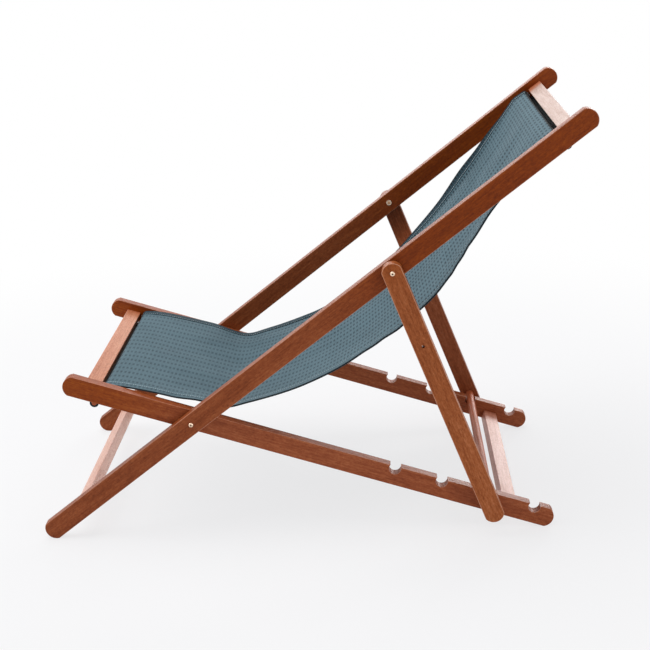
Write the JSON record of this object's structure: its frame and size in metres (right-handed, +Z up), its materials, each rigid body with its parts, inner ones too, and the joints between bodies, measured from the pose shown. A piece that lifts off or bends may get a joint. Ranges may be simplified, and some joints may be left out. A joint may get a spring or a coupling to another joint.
{
  "type": "folding deck chair",
  "caption": "Folding wooden deck chair with a cloth sling between two crossing frames, and a prop that sets the recline in notches and folds flat.",
  "frame": {"origin": "on the floor, at the centre of the space that the open chair takes", "axes": "+Z up, +X from the foot end to the head end, +Y to the sitter's right"},
  "size_m": [1.0725, 0.5964, 0.8324],
  "materials": {
    "dark_wood": "satin stained hardwood",
    "orange_wood": "satin stained hardwood",
    "salmon_wood": "satin planed hardwood",
    "pale_wood": "satin planed hardwood",
    "dowel_wood": "satin turned hardwood",
    "cloth": "woven slate grey cloth",
    "bright_metal": "polished",
    "dull_metal": "plain"
  },
  "bodies": {
    "back_frame": {"back_rail_left": "dark_wood", "back_rail_right": "dark_wood", "head_slat": "pale_wood", "head_bar": "dark_wood", "foot_stretcher": "pale_wood", "sling": "cloth", "sling_head_dowel": "dowel_wood", "frame_pivot_bolts": "bright_metal", "frame_pivot_nuts": "bright_metal", "frame_pivot_washers": "dull_metal", "prop_pivot_bolts": "bright_metal", "prop_pivot_nuts": "bright_metal", "prop_pivot_washers": "dull_metal"},
    "seat_frame": {"seat_rail_left": "dark_wood", "seat_rail_right": "dark_wood", "seat_front_slat": "salmon_wood", "seat_front_bar": "dark_wood", "seat_rear_stretcher": "pale_wood", "sling_front_dowel": "dowel_wood"},
    "prop": {"prop_strut_left": "orange_wood", "prop_strut_right": "orange_wood", "prop_dowel": "dowel_wood"}
  },
  "joints": [
    {"name": "frame_fold", "type": "hinge", "parent": "back_frame", "child": "seat_frame", "pos_m": [-0.22619, 0, 0.2428], "axis": [0, -1, 0], "range_deg": [-13.88, 55.4], "deforming": ["sling"]},
    {"name": "prop_swing", "type": "hinge", "parent": "back_frame", "child": "prop", "pos_m": [0.16825, 0, 0.54517], "axis": [0, -1, 0], "range_deg": [-25.46, 106.52]}
  ]
}
